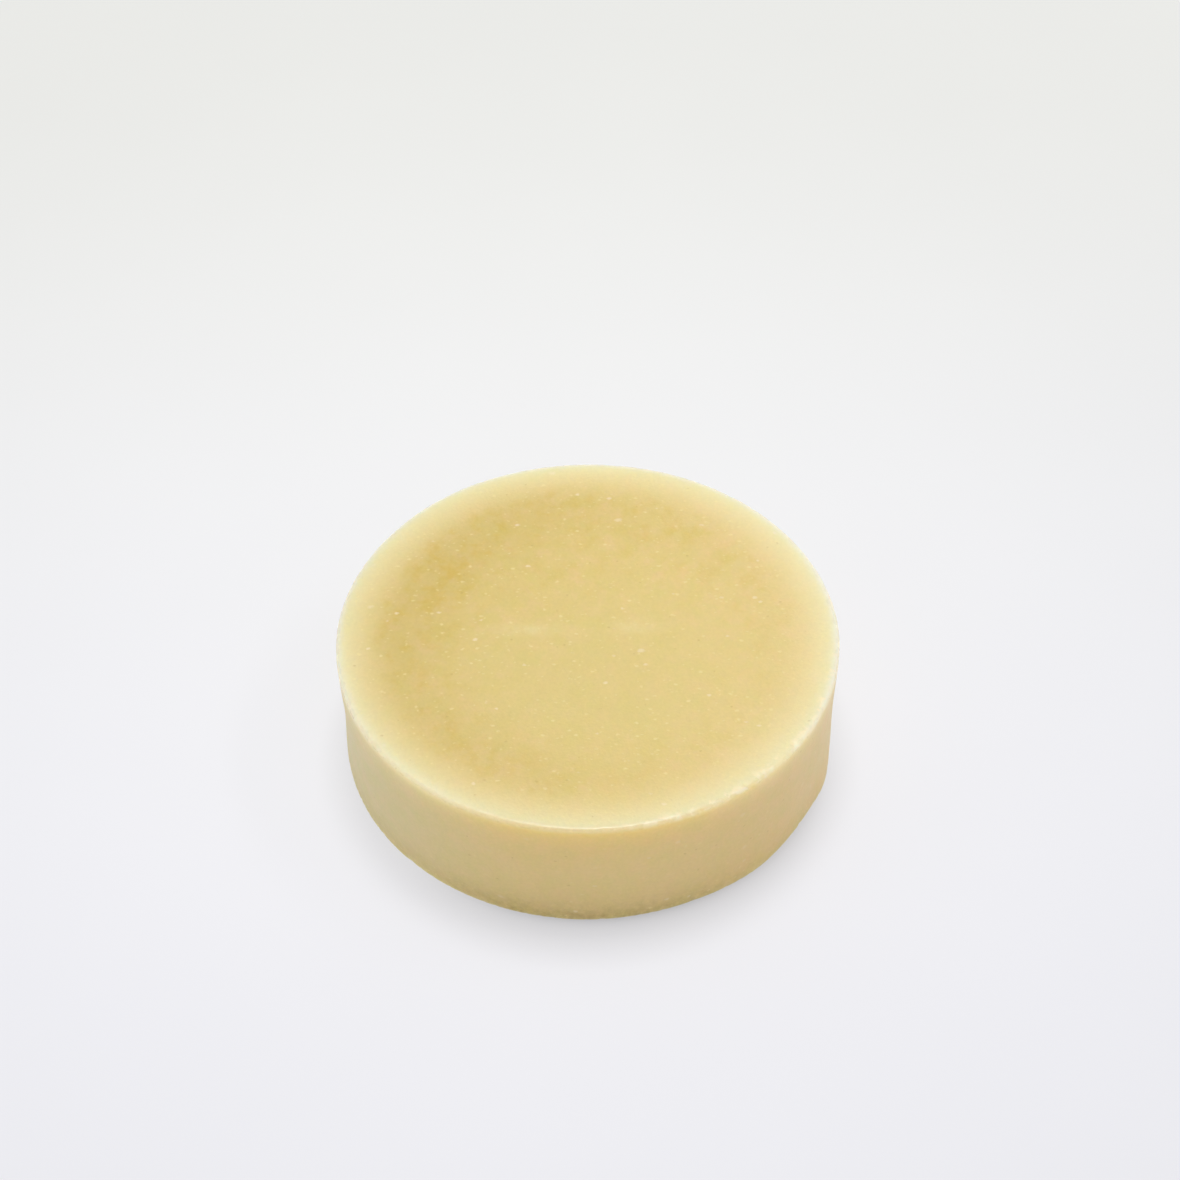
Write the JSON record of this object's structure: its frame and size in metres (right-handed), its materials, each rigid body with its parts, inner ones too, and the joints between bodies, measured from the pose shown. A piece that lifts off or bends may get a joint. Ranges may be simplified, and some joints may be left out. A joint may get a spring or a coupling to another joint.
{
  "type": "shaving soap puck",
  "caption": "Solid round disc of pale yellow hard soap with flat faces, a straight side and slightly rounded edges, worked with a wet brush to make lather.",
  "frame": {"origin": "centre of the flat base that the puck rests on", "axes": "+Z is the puck's round axis, pointing up from the base to the lathering face; X and Y are free, because the disc is round"},
  "size_m": [0.075, 0.075, 0.0208],
  "materials": {
    "soap": "satin"
  },
  "bodies": {
    "root": {"soap_puck": "soap"}
  },
  "joints": []
}
